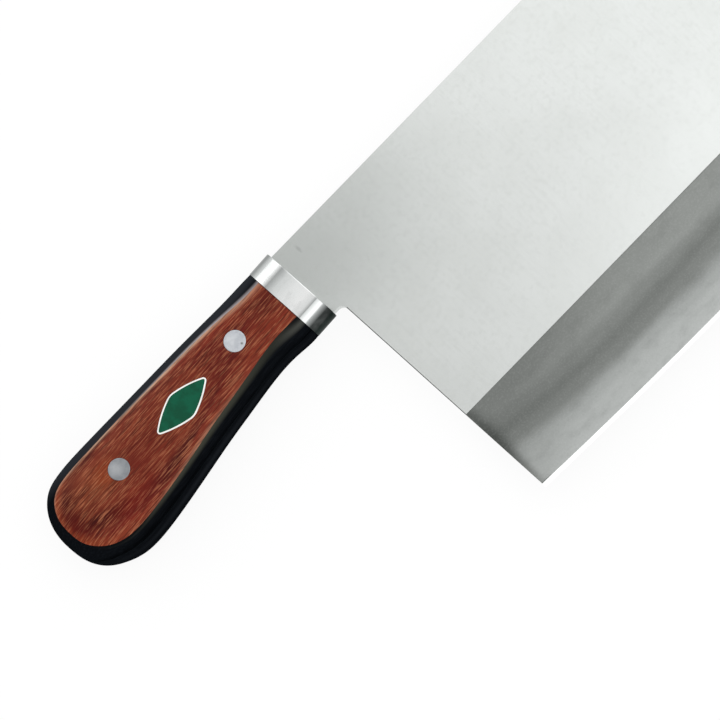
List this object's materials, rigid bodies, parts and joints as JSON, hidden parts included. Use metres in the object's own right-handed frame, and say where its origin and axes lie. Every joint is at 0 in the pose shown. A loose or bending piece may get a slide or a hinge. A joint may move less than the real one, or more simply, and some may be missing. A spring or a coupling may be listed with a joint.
{
  "type": "chinese cleaver",
  "caption": "Tall rectangular kitchen cleaver with a wide ground bevel, a hidden tang, a steel ferrule and a riveted handle of red and black laminated wood.",
  "frame": {"origin": "under the middle of the knife's outline, on the plane that the handle lies on", "axes": "+X runs from the butt of the handle to the tip of the blade, +Y points to the spine, +Z comes out of the blade's front face, square to its flat"},
  "size_m": [0.3304, 0.111, 0.0204],
  "materials": {
    "blade_steel": "satin",
    "ferrule_steel": "polished",
    "black_wood": "gloss",
    "red_wood": "satin",
    "rivet_metal": "satin",
    "label_film": "gloss"
  },
  "bodies": {
    "root": {"blade": "blade_steel", "ferrule": "ferrule_steel", "handle_core": "black_wood", "front_face_wood": "red_wood", "back_face_wood": "red_wood", "front_rivet_socket": "rivet_metal", "front_rivet_stud": "rivet_metal", "rear_rivet_socket": "rivet_metal", "rear_rivet_stud": "rivet_metal", "label": "label_film"}
  },
  "joints": []
}
